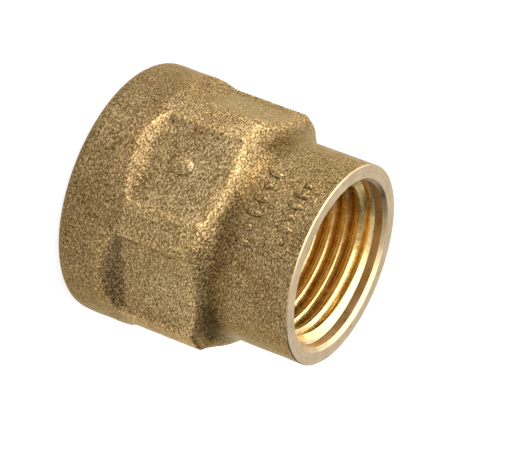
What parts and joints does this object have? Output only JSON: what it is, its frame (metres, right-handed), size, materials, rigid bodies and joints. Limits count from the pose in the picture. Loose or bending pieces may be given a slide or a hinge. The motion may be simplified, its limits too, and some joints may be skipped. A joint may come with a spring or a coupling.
{
  "type": "reducing pipe coupling",
  "caption": "Short forged brass reducing coupling with an internally threaded large end, wrench flats around the middle and an internally threaded small end.",
  "frame": {"origin": "centre of the large end face, which is also the middle of the bottom of the bounding box", "axes": "+Z along the axis from the large end to the small end; +X is the outward normal of one wrench flat"},
  "size_m": [0.0322, 0.0322, 0.0308],
  "materials": {
    "brass": "as forged and blasted outside, machined on the end faces and in the threads"
  },
  "bodies": {
    "root": {"coupling_body": "brass"}
  },
  "joints": []
}
